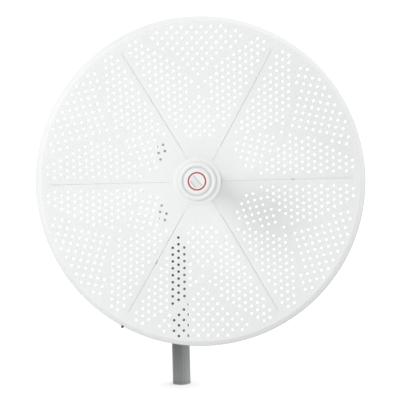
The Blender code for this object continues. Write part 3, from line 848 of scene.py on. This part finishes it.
def blank_petal(sizes):
    """A petal centred on X, with its flanges and its thickness, before it is punched."""
    petal = turned("petal", petal_profile(sizes), steps=144, ends="OPEN")
    with editing(petal):
        for side in (-1, 1):
            normal = seam_normal(side, sizes)
            bpy.ops.mesh.select_all(action="SELECT")
            bpy.ops.mesh.bisect(
                plane_co=-sizes.seam_gap * normal, plane_no=normal, clear_outer=True, threshold=MERGE / 2
            )
        bpy.ops.mesh.select_all(action="SELECT")
        bpy.ops.mesh.normals_make_consistent(inside=False)
    for side in (-1, 1):
        add_flange(petal, side, sizes)
    with editing(petal):
        bpy.ops.mesh.normals_make_consistent(inside=False)
    if petal.data.polygons[0].normal.z < 0:
        with editing(petal):
            bpy.ops.mesh.flip_normals()
    return apply_modifier(
        petal, "SOLIDIFY", thickness=sizes.petal_thick, offset=-1.0, use_even_offset=True
    )


# The petals that carry half of a small mark on a seam, and the side that it is on
MARKED_SIDES = {1: -1, 6: 1, 4: 1, 5: -1}
MARK_REACH = 0.187
MARK_SIZE = (0.0055, 0.00115, 0.0035)


def mark_seam(petal, side):
    """Cuts half of a small pocket into a petal at its seam."""
    pocket = start(
        "pocket", bpy.ops.mesh.primitive_uv_sphere_add, segments=24, ring_count=12, radius=1.0,
        scale=MARK_SIZE, location=(MARK_REACH, 0.0, bowl_height(MARK_REACH)),
    )
    cut(petal, set_at(pocket, turn_about("Z", side * HALF_SECTOR)))


class DISH_OT_petals(bpy.types.Operator):
    """Six perforated petals with their flanges"""

    bl_idname = "dish.petals"
    bl_label = "Petals"

    def execute(self, context):
        petal = cut(blank_petal(context.scene.dish_sizes), punch_cutter())
        for number in range(1, PETALS + 1):
            name = f"petal_{number}"
            copied = twin(petal, name + "_sheet")
            if number in MARKED_SIDES:
                mark_seam(copied, MARKED_SIDES[number])
            set_at(copied, DISH @ turn_about("Z", math.tau * (number - 0.5) / PETALS))
            done(copied, "dish", "petals", white_powder_coat, name)
        discard(petal)
        return {"FINISHED"}


class DISH_OT_seam_fittings(bpy.types.Operator):
    """Small bolts through the seam flanges, rim rivets and the plug in the rim"""

    bl_idname = "dish.seam_fittings"
    bl_label = "Seam fittings"

    def execute(self, context):
        sizes = context.scene.dish_sizes
        self.add_bolts(sizes)
        self.add_rivets()
        self.add_plug(sizes)
        return {"FINISHED"}

    def add_bolts(self, sizes):
        """Two bolts across each pair of flanges."""
        half_grip = sizes.petal_thick + sizes.seam_gap
        samples = []
        for reach in (0.135, 0.212):
            bolt = hex_bolt("seam_bolt", 0.002, 2 * half_grip, 0.0012)
            place = at(reach, 0.0, bowl_height(reach) - 0.0085)
            samples.append(set_at(bolt, place @ FORWARD @ at(0, 0, half_grip)))
        bolts = repeated("seam_bolts", join("seam_bolt", samples), round_dish_axis(PETALS))
        done_on_dish(bolts, "bolts", plated_zinc)

    def add_rivets(self):
        """A flat rivet beside the outer end of each seam."""
        radius = 0.0020
        rise = 0.0005
        profile = [(radius * 0.3, rise), (radius * 0.8, rise * 0.8), (radius, 0.0), (radius, -0.001)]
        reach = 0.301
        lean = turn_about("Y", -bowl_slope(reach))
        rivet = set_at(turned("rivet", profile, 24), at(reach, -0.0048, bowl_height(reach)) @ lean)
        done_on_dish(repeated("rim_rivets", rivet, round_dish_axis(PETALS)), "petals", white_powder_coat)

    def add_plug(self, sizes):
        """A black plug that closes the rim at the lower left seam."""
        height, lip_radius = lip_round(sizes)
        front = lip_radius * 0.35
        back = -sizes.lip_skirt - 0.004
        profile = [(0.0008, front)] + rounded_corner(0.0027, front, 0.0012)
        plug = turned("rim_plug", mirrored(profile, front + back), 32)
        seam = turn_about("Z", math.radians(240.6))
        set_at(plug, DISH @ seam @ at(sizes.rim_radius + 0.0004, 0.0, height))
        done(plug, "dish", "mast_cap", black_plastic)


class DISH_OT_seam_clips(bpy.types.Operator):
    """Channel clips over the seam flanges near the rim"""

    bl_idname = "dish.seam_clips"
    bl_label = "Seam clips"

    def execute(self, context):
        bevel = context.scene.bracket_sizes.clip_bevel
        for number in range(1, PETALS + 1):
            dress_node(f"seam_clip_{number}", "_channel", bevel, "dish", "casting", galvanised_steel)
        return {"FINISHED"}


# Hub


class DISH_OT_hub(bpy.types.Operator):
    """The hub casting with its ribs and screws"""

    bl_idname = "dish.hub"
    bl_label = "Hub"

    def execute(self, context):
        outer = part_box("hub_casting")[1].x - AXIS_X
        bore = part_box("feed_tube")[1].x - AXIS_X + CLEARANCE
        flat = outer - 0.012
        edge = -0.008
        seat = [(r, bowl_height(r) - 0.0024) for r in spread(bore, outer - 0.0008, 9)]
        profile = seat + [(outer, bowl_height(outer) - 0.0034), (outer, edge + 0.001)]
        profile += [(outer - 0.0008, edge), (flat + 0.0012, -HUB_DEPTH + 0.0014)]
        profile += [(flat - 0.0006, -HUB_DEPTH), (bore, -HUB_DEPTH), seat[0]]
        hub = turned("hub_turned", profile, ends="JOIN")
        middle = (outer + flat) / 2 - 0.0012
        rib = block("hub_rib", (0.011, 0.003, 0.014), (middle, 0.0, -0.0165), 0.0008)
        ribs = repeated("hub_ribs", rib, round_dish_axis(12, math.radians(15)))
        done_on_dish(join("hub_body", [hub, ribs]), "casting", grey_casting, "hub_casting")
        self.add_screws()
        return {"FINISHED"}

    def add_screws(self):
        """Button-head screws on the hub's rear face, clear of the bracket and the sockets."""
        reach = 0.058
        places = []
        for degrees in (32, 148, 228, 312):
            turn = math.radians(degrees)
            places.append(at(reach * math.cos(turn), reach * math.sin(turn), -HUB_DEPTH) @ DISH_BACK)
        screws = repeated("hub_screws", socket_screw("hub_screw", 0.0045, 0.0026), places)
        done_on_dish(screws, "bolts", plated_zinc)


class DISH_OT_sockets(bpy.types.Operator):
    """The two threaded sockets behind the hub"""

    bl_idname = "dish.sockets"
    bl_label = "Sockets"

    def execute(self, context):
        for node in ("socket_left", "socket_right"):
            low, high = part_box(node)
            foot = at((low.x + high.x) / 2, low.y, (low.z + high.z) / 2)
            backward = foot @ turn_about("X", math.radians(-90))
            self.add_socket(node, backward, high.y - low.y, (high.x - low.x) / 2)
        return {"FINISHED"}

    def add_socket(self, node, backward, reach, base):
        """A threaded shell on a hexagonal base, with its pin and the white insert round it."""
        outer = base * 0.71
        bore = base * 0.50
        shoulder = base * 0.8
        flange = reach * 0.3
        floor = flange * 0.6
        profile = [(bore, reach - 0.0006), (bore + 0.0006, reach), (outer - 0.0012, reach)]
        profile += thread_profile(outer, reach - 0.0008, flange, 0.0011)
        profile += [(shoulder, flange), (shoulder, floor), (bore, floor), profile[0]]
        shell = turned(node + "_shell", profile, SMALL_STEPS, ends="JOIN")
        nut = hexagon(node + "_nut", base, 0.0, flange * 0.9)
        profile = [(0.0007, reach * 0.8), (0.0010, reach * 0.74), (0.0010, floor)]
        pin = turned(node + "_pin", profile, 20)
        body = set_at(join(node + "_body", [shell, nut, pin]), backward)
        done(body, "dish", "bolts", plated_zinc, node)
        profile = [(0.0016, reach * 0.62), (bore * 0.92, reach * 0.62), (bore * 0.98, reach * 0.56)]
        insert = turned(node + "_insert", profile + [(bore * 0.98, flange * 0.7)], SMALL_STEPS)
        done(set_at(insert, backward), "dish", "feed", white_moulded_plastic)


# Feed


def feed_box(node):
    """A turned piece's radius, and its lowest and highest point along the dish axis."""
    low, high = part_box(node)
    return (high.x - low.x) / 2, VERTEX_Y - high.y, VERTEX_Y - low.y


class DISH_OT_collar(bpy.types.Operator):
    """The flanged sleeve that holds the feed, with its screws"""

    bl_idname = "dish.collar"
    bl_label = "Feed collar"

    def execute(self, context):
        sizes = context.scene.feed_sizes
        radius, low, high = feed_box("feed_collar")
        bore = feed_box("feed_tube")[0] + CLEARANCE
        sleeve = sizes.sleeve_radius
        root = sizes.collar_root
        corner = 0.0012
        fillet = 0.003
        seat = bowl_height(radius) + CLEARANCE
        profile = [(bore, high)] + rounded_corner(sleeve, high, corner)
        profile += arc((sleeve + fillet, root + fillet), fillet, math.pi, math.pi * 1.4, 6)
        profile += rounded_corner(radius, sizes.collar_edge, corner)
        profile += [(radius, seat + 0.0004), (radius - 0.0004, seat), (bore, low), (bore, high)]
        done_feed(turned("collar_body", profile, ends="JOIN"), "feed_collar")
        screw = socket_screw("collar_screw", 0.0026, 0.0018)
        lean = math.atan2(root - sizes.collar_edge, radius - sleeve)
        spot = at(0.0362, 0.0, 0.0102) @ turn_about("Y", lean)
        places = [turn @ spot for turn in round_dish_axis(PETALS, HALF_SECTOR)]
        done_on_dish(repeated("collar_screws", screw, places), "bolts", plated_zinc)
        return {"FINISHED"}


class DISH_OT_feed_body(bpy.types.Operator):
    """The feed tube and the flared horn"""

    bl_idname = "dish.feed_body"
    bl_label = "Feed tube and horn"

    def execute(self, context):
        radius, low, high = feed_box("feed_tube")
        step = 0.0006
        slim = radius - step
        profile = rounded_corner(slim, high, 0.001)
        for joint in (0.150, 0.062):
            profile += band(slim, radius, joint + 0.0018, 0.0036, step)
        profile += [(slim, 0.034), (radius, 0.033), (radius, low)]
        done_feed(turned("feed_barrel", profile), "feed_tube")
        self.add_horn()
        return {"FINISHED"}

    def add_horn(self):
        """A cone that opens in a curve towards the disc, with webs behind its edge."""
        radius, low, high = feed_box("feed_horn")
        neck = feed_box("feed_tube")[0] + 0.001
        wide = radius - 0.003 - neck
        edge = 0.006
        depth = high - low
        profile = rounded_corner(radius, high, 0.0008) + [(radius, high - 0.0045)]
        profile += [
            (neck + wide * (1 - math.cos(a)), high - edge - (depth - edge) * (1 - math.sin(a)))
            for a in spread(math.pi / 2, 0.0, 14)
        ]
        horn = turned("horn_flare", profile)
        web = block("horn_web", (0.0125, 0.0016, 0.020), (0.0325, 0.0, high - 0.014), 0.0004)
        webs = repeated("horn_webs", web, round_dish_axis(8, math.radians(22.5)))
        done_feed(join("horn_body", [horn, webs]), "feed_horn")


class DISH_OT_feed_head(bpy.types.Operator):
    """The disc with its rounded ridge, the button and its label"""

    bl_idname = "dish.feed_head"
    bl_label = "Feed head"

    def execute(self, context):
        sizes = context.scene.feed_sizes
        self.add_disc(sizes)
        self.add_button(sizes)
        self.add_label(sizes)
        return {"FINISHED"}

    def add_disc(self, sizes):
        """The disc, whose ridge rises from the groove and falls to the flat face."""
        radius, low = feed_box("feed_disc")[:2]
        crest = sizes.ridge_crest
        top = sizes.disc_front + sizes.ridge_height
        profile = [(0.002, sizes.groove_floor)]
        for a in spread(0.0, math.pi, 19):
            inside = a < math.pi / 2
            half = crest - sizes.ridge_inner if inside else sizes.ridge_outer - crest
            foot = sizes.groove_floor if inside else sizes.disc_front
            profile.append((crest - half * math.cos(a), foot + (top - foot) * math.sin(a)))
        profile += rounded_corner(radius, sizes.disc_front, 0.0011)
        profile += [(radius, low + 0.001), (radius - 0.001, low)]
        done_feed(turned("disc_body", profile), "feed_disc")

    def add_button(self, sizes):
        """The button in the ridge, with a shallow seat for the label and a sloping side."""
        low, high = feed_box("feed_button")[1:]
        seat = high - 0.0003
        label = sizes.label_radius
        edge = sizes.button_edge
        profile = [(0.003, seat), (label + 0.0004, seat), (label + 0.0010, high)]
        profile += arc((sizes.button_face, high - edge), edge, math.pi / 2, math.radians(46), 6)
        profile += [(sizes.button_foot, sizes.groove_floor), (sizes.button_foot, low)]
        done_feed(turned("button_body", profile), "feed_button")

    def add_label(self, sizes):
        radius = sizes.label_radius
        face = feed_box("feed_button")[2] - 0.00005
        profile = [(0.003, face), (radius - 0.0001, face)]
        profile += [(radius, face - 0.0001), (radius, face - 0.0002)]
        done_on_dish(turned("button_label", profile), "feed", printed_label)


# Brackets and clamps


class DISH_OT_brackets(bpy.types.Operator):
    """The two sheet brackets with their tilt marks, web bolts and welds"""

    bl_idname = "dish.brackets"
    bl_label = "Brackets"

    def execute(self, context):
        sizes = context.scene.bracket_sizes
        for node, body in (("mast_bracket", "mast_clamp"), ("dish_bracket", "dish")):
            dress_node(node, "_sheet", sizes.sheet_bevel, body, "bracket", galvanised_steel)
        self.add_scale(sizes)
        self.add_web_bolts()
        self.add_welds()
        return {"FINISHED"}

    def add_scale(self, sizes):
        """Raised marks beside the upper slot, on the outside of each cheek."""
        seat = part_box("mast_bracket")[1].x - 0.002
        inner = sizes.scale_inner
        across = 0.0005
        shorter = 0.0022
        fan = math.radians(40)
        marks = []
        for number in range(sizes.scale_marks):
            turn = fan * (number / (sizes.scale_marks - 1) - 0.5)
            outer = sizes.scale_outer - shorter * (number % 2)
            middle = (0.0, 0.0, (inner + outer) / 2)
            mark = block("tilt_mark", (across, across, outer - inner), middle, 0.0001)
            marks.append(set_at(mark, at(seat, sizes.pivot_y, AXIS_Z) @ turn_about("X", turn)))
        right = join("tilt_marks", marks)
        left = twin(right, "tilt_marks_left", at(2 * (AXIS_X - seat), 0, 0))
        done(join("tilt_marks", [right, left]), "mast_clamp", "bracket", galvanised_steel)

    def add_web_bolts(self):
        """Four bolts that hold the dish bracket to the hub, seen between its ears."""
        head = hexagon("web_bolt", 0.0056, 0.0008, 0.0046)
        washer = turned("web_washer", [(0.0064, 0.0008), (0.0066, 0.0006), (0.0066, 0.0)], SMALL_STEPS)
        web = -HUB_DEPTH - 0.0043
        places = [at(x, z, web) @ DISH_BACK for x in (-0.018, 0.018) for z in (-0.034, 0.034)]
        bolts = repeated("web_bolts", join("web_bolt", [head, washer]), places)
        done_on_dish(bolts, "bolts", plated_zinc)

    def add_welds(self):
        """A rippled bead in the corner between each cheek and the plate."""
        reach = 0.058
        ripples = 60
        profile = [(0.001, -reach - 0.001)]
        for ripple in range(ripples + 1):
            swell = 0.0022 if ripple % 2 else 0.0019
            profile.append((swell, -reach + 2 * reach * ripple / ripples))
        profile.append((0.001, reach + 0.001))
        bead = turned("weld", profile[::-1], 14)
        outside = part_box("dish_bracket")[1].x + 0.0005 + 0.004
        places = [at(x, -0.039, AXIS_Z) for x in (outside, 2 * AXIS_X - outside)]
        done(repeated("bracket_welds", bead, places), "mast_clamp", "bracket", galvanised_steel)


class DISH_OT_clamps(bpy.types.Operator):
    """The saddles and jaws that grip the mast"""

    bl_idname = "dish.clamps"
    bl_label = "Clamps"

    def execute(self, context):
        bevel = context.scene.bracket_sizes.cast_bevel
        for level in ("upper", "lower"):
            for kind in ("saddle", "jaw"):
                node = f"clamp_{kind}_{level}"
                dress_node(node, "_cast", bevel, "mast_clamp", "casting", grey_casting, segments=3)
        return {"FINISHED"}


class DISH_OT_bolts(bpy.types.Operator):
    """The clamp bolts and the tilt bolts, with washers and nuts"""

    bl_idname = "dish.bolts"
    bl_label = "Bolts"

    def execute(self, context):
        corners = ("upper_left", "upper_right", "lower_left", "lower_right")
        self.add_bolts([f"clamp_bolt_{corner}" for corner in corners], 0.004, "mast_clamp", 1)
        self.add_bolts(["tilt_lock_bolt_upper", "tilt_lock_bolt_lower"], 0.004, "dish", 0)
        self.add_bolts(["tilt_pivot_bolt"], 0.005, "dish", 0)
        return {"FINISHED"}

    def add_bolts(self, nodes, radius, body, axis):
        """Bolts along X, whose heads are at the right, or along Y, whose heads are in front."""
        low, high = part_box(nodes[0])
        head = radius * HEAD_SHARE
        grip = high[axis] - low[axis] - head - radius * NUT_SHARE - BOLT_TAIL
        sample = hex_bolt("bolt_sample", radius, grip)
        for node in nodes:
            low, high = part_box(node)
            place = (low + high) / 2
            place[axis] = high[axis] - head if axis == 0 else low[axis] + head
            turn = SIDEWAYS if axis == 0 else FORWARD
            done(twin(sample, node + "_hex", at(*place) @ turn), body, "bolts", plated_zinc, node)
        discard(sample)


# Mast


class DISH_OT_mast(bpy.types.Operator):
    """The mast tube, its foot disc and its cap"""

    bl_idname = "dish.mast"
    bl_label = "Mast"

    def execute(self, context):
        low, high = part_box("mast_tube")
        inner = MAST_RADIUS - 0.003
        edge = 0.0004
        side = MAST_RADIUS - edge
        profile = [(inner, high.z), (side, high.z), (MAST_RADIUS, high.z - edge)]
        profile += [(MAST_RADIUS, low.z + edge), (side, low.z), (inner, low.z), (inner, high.z)]
        tube = turned("mast_pipe", profile, ends="JOIN")
        done(tube, "mast", "mast", weathered_tube, "mast_tube")
        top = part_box("mast_foot_disc")[1].z
        profile = [(side, top), (MAST_RADIUS, top - edge), (MAST_RADIUS, edge), (side, 0.0)]
        done(turned("mast_foot", profile), "mast", "mast", weathered_tube, "mast_foot_disc")
        self.add_cap()
        return {"FINISHED"}

    def add_cap(self):
        """A moulded cap with three raised bands round its side."""
        low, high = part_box("mast_cap")
        top = high.z
        radius = high.x
        slim = radius - 0.0004
        bore = MAST_RADIUS + CLEARANCE
        profile = [(0.002, top), (radius * 0.55, top - 0.0003)]
        profile += rounded_corner(slim, top - 0.0006, 0.0035, 7)
        for depth in (0.0065, 0.0095, 0.0125):
            profile += band(slim, radius, top - depth, 0.0021, 0.0005)
        profile += [(radius, low.z + 0.0008), (radius - 0.0006, low.z), (bore, low.z)]
        profile += [(bore, top - 0.005), (0.002, top - 0.005)]
        done(turned("cap_body", profile), "mast", "mast_cap", black_plastic, "mast_cap")


# Stage


class DISH_OT_stage(bpy.types.Operator):
    """The floor, the room light, the key light and the camera"""

    bl_idname = "dish.stage"
    bl_label = "Stage"

    def execute(self, context):
        stage = context.scene.stage_settings
        self.add_room(context.scene, stage)
        self.add_floor(stage)
        self.add_key_light(stage)
        self.add_camera(context.scene, stage)
        return {"FINISHED"}

    def add_room(self, scene, stage):
        """A white room whose light grows in one direction."""
        world = bpy.data.worlds.new("room")
        world.use_nodes = True
        nodes = world.node_tree.nodes
        links = world.node_tree.links
        background = nodes["Background"]
        background.inputs["Color"].default_value = (1.0, 1.0, 1.0, 1.0)
        lean = nodes.new("ShaderNodeVectorMath")
        lean.operation = "DOT_PRODUCT"
        lean.inputs[1].default_value = stage.room_lean
        links.new(nodes.new("ShaderNodeTexCoord").outputs["Generated"], lean.inputs[0])
        strength = nodes.new("ShaderNodeMath")
        strength.inputs[1].default_value = stage.room
        links.new(lean.outputs["Value"], strength.inputs[0])
        links.new(strength.outputs["Value"], background.inputs["Strength"])
        scene.world = world
        scene.view_settings.view_transform = "Standard"

    def add_floor(self, stage):
        floor = start("floor", bpy.ops.mesh.primitive_plane_add, size=80.0)
        paint = Finish("floor_paint", stage.floor, 0.9)
        paint.feed({"Base Color": paint.shade(paint.noise(2.0), 0.99, 1.01)})
        paint.feed({"Emission Color": (1.0, 1.0, 1.0, 1.0), "Emission Strength": stage.floor_glow})
        floor.data.materials.append(paint.material)

    def add_key_light(self, stage):
        """A soft round light that shines at the bowl."""
        bpy.ops.object.light_add(type="AREA")
        light = bpy.context.object
        light.name = "key_light"
        light.data.energy = stage.key_power
        light.data.shape = "DISK"
        light.data.size = stage.key_size
        light.visible_camera = False
        place = Vector(stage.key_place)
        direction = Vector((AXIS_X, VERTEX_Y - 0.05, AXIS_Z)) - place
        light.matrix_world = at(*place) @ direction.to_track_quat("-Z", "Y").to_matrix().to_4x4()

    def add_camera(self, scene, stage):
        bpy.ops.object.camera_add()
        camera = bpy.context.object
        camera.data.lens = stage.lens
        camera.data.sensor_width = 36.0
        turn = turn_about("Z", -stage.camera_yaw)
        tilt = turn_about("X", math.pi / 2 + stage.camera_pitch)
        roll = turn_about("Z", stage.camera_roll)
        camera.matrix_world = at(*stage.camera_place) @ turn @ tilt @ roll
        scene.camera = camera


class DISH_PT_panel(bpy.types.Panel):
    """Lists the pieces of the antenna"""

    bl_idname = "DISH_PT_panel"
    bl_label = "Microwave Dish"
    bl_space_type = "VIEW_3D"
    bl_region_type = "UI"
    bl_category = "Dish"

    def draw(self, context):
        for operator in OPERATORS:
            self.layout.operator(operator.bl_idname)
        for name in SETTINGS:
            box = self.layout.box()
            group = getattr(context.scene, name)
            for key in group.__annotations__:
                box.prop(group, key)


OPERATORS = (
    DISH_OT_petals,
    DISH_OT_seam_fittings,
    DISH_OT_seam_clips,
    DISH_OT_hub,
    DISH_OT_sockets,
    DISH_OT_collar,
    DISH_OT_feed_body,
    DISH_OT_feed_head,
    DISH_OT_brackets,
    DISH_OT_clamps,
    DISH_OT_bolts,
    DISH_OT_mast,
    DISH_OT_stage,
)

SETTINGS = {
    "dish_sizes": DishSizes,
    "punch_sizes": PunchSizes,
    "feed_sizes": FeedSizes,
    "bracket_sizes": BracketSizes,
    "finish_colours": FinishColours,
    "stage_settings": StageSettings,
}


def register():
    for group in (*SETTINGS.values(), *OPERATORS, DISH_PT_panel):
        bpy.utils.register_class(group)
    for name, group in SETTINGS.items():
        setattr(bpy.types.Scene, name, PointerProperty(type=group))


def unregister():
    for name in SETTINGS:
        delattr(bpy.types.Scene, name)
    for group in (DISH_PT_panel, *OPERATORS, *SETTINGS.values()):
        bpy.utils.unregister_class(group)


def main():
    register()
    for operator in OPERATORS:
        family, name = operator.bl_idname.split(".")
        getattr(getattr(bpy.ops, family), name)()


if __name__ == "__main__":
    main()
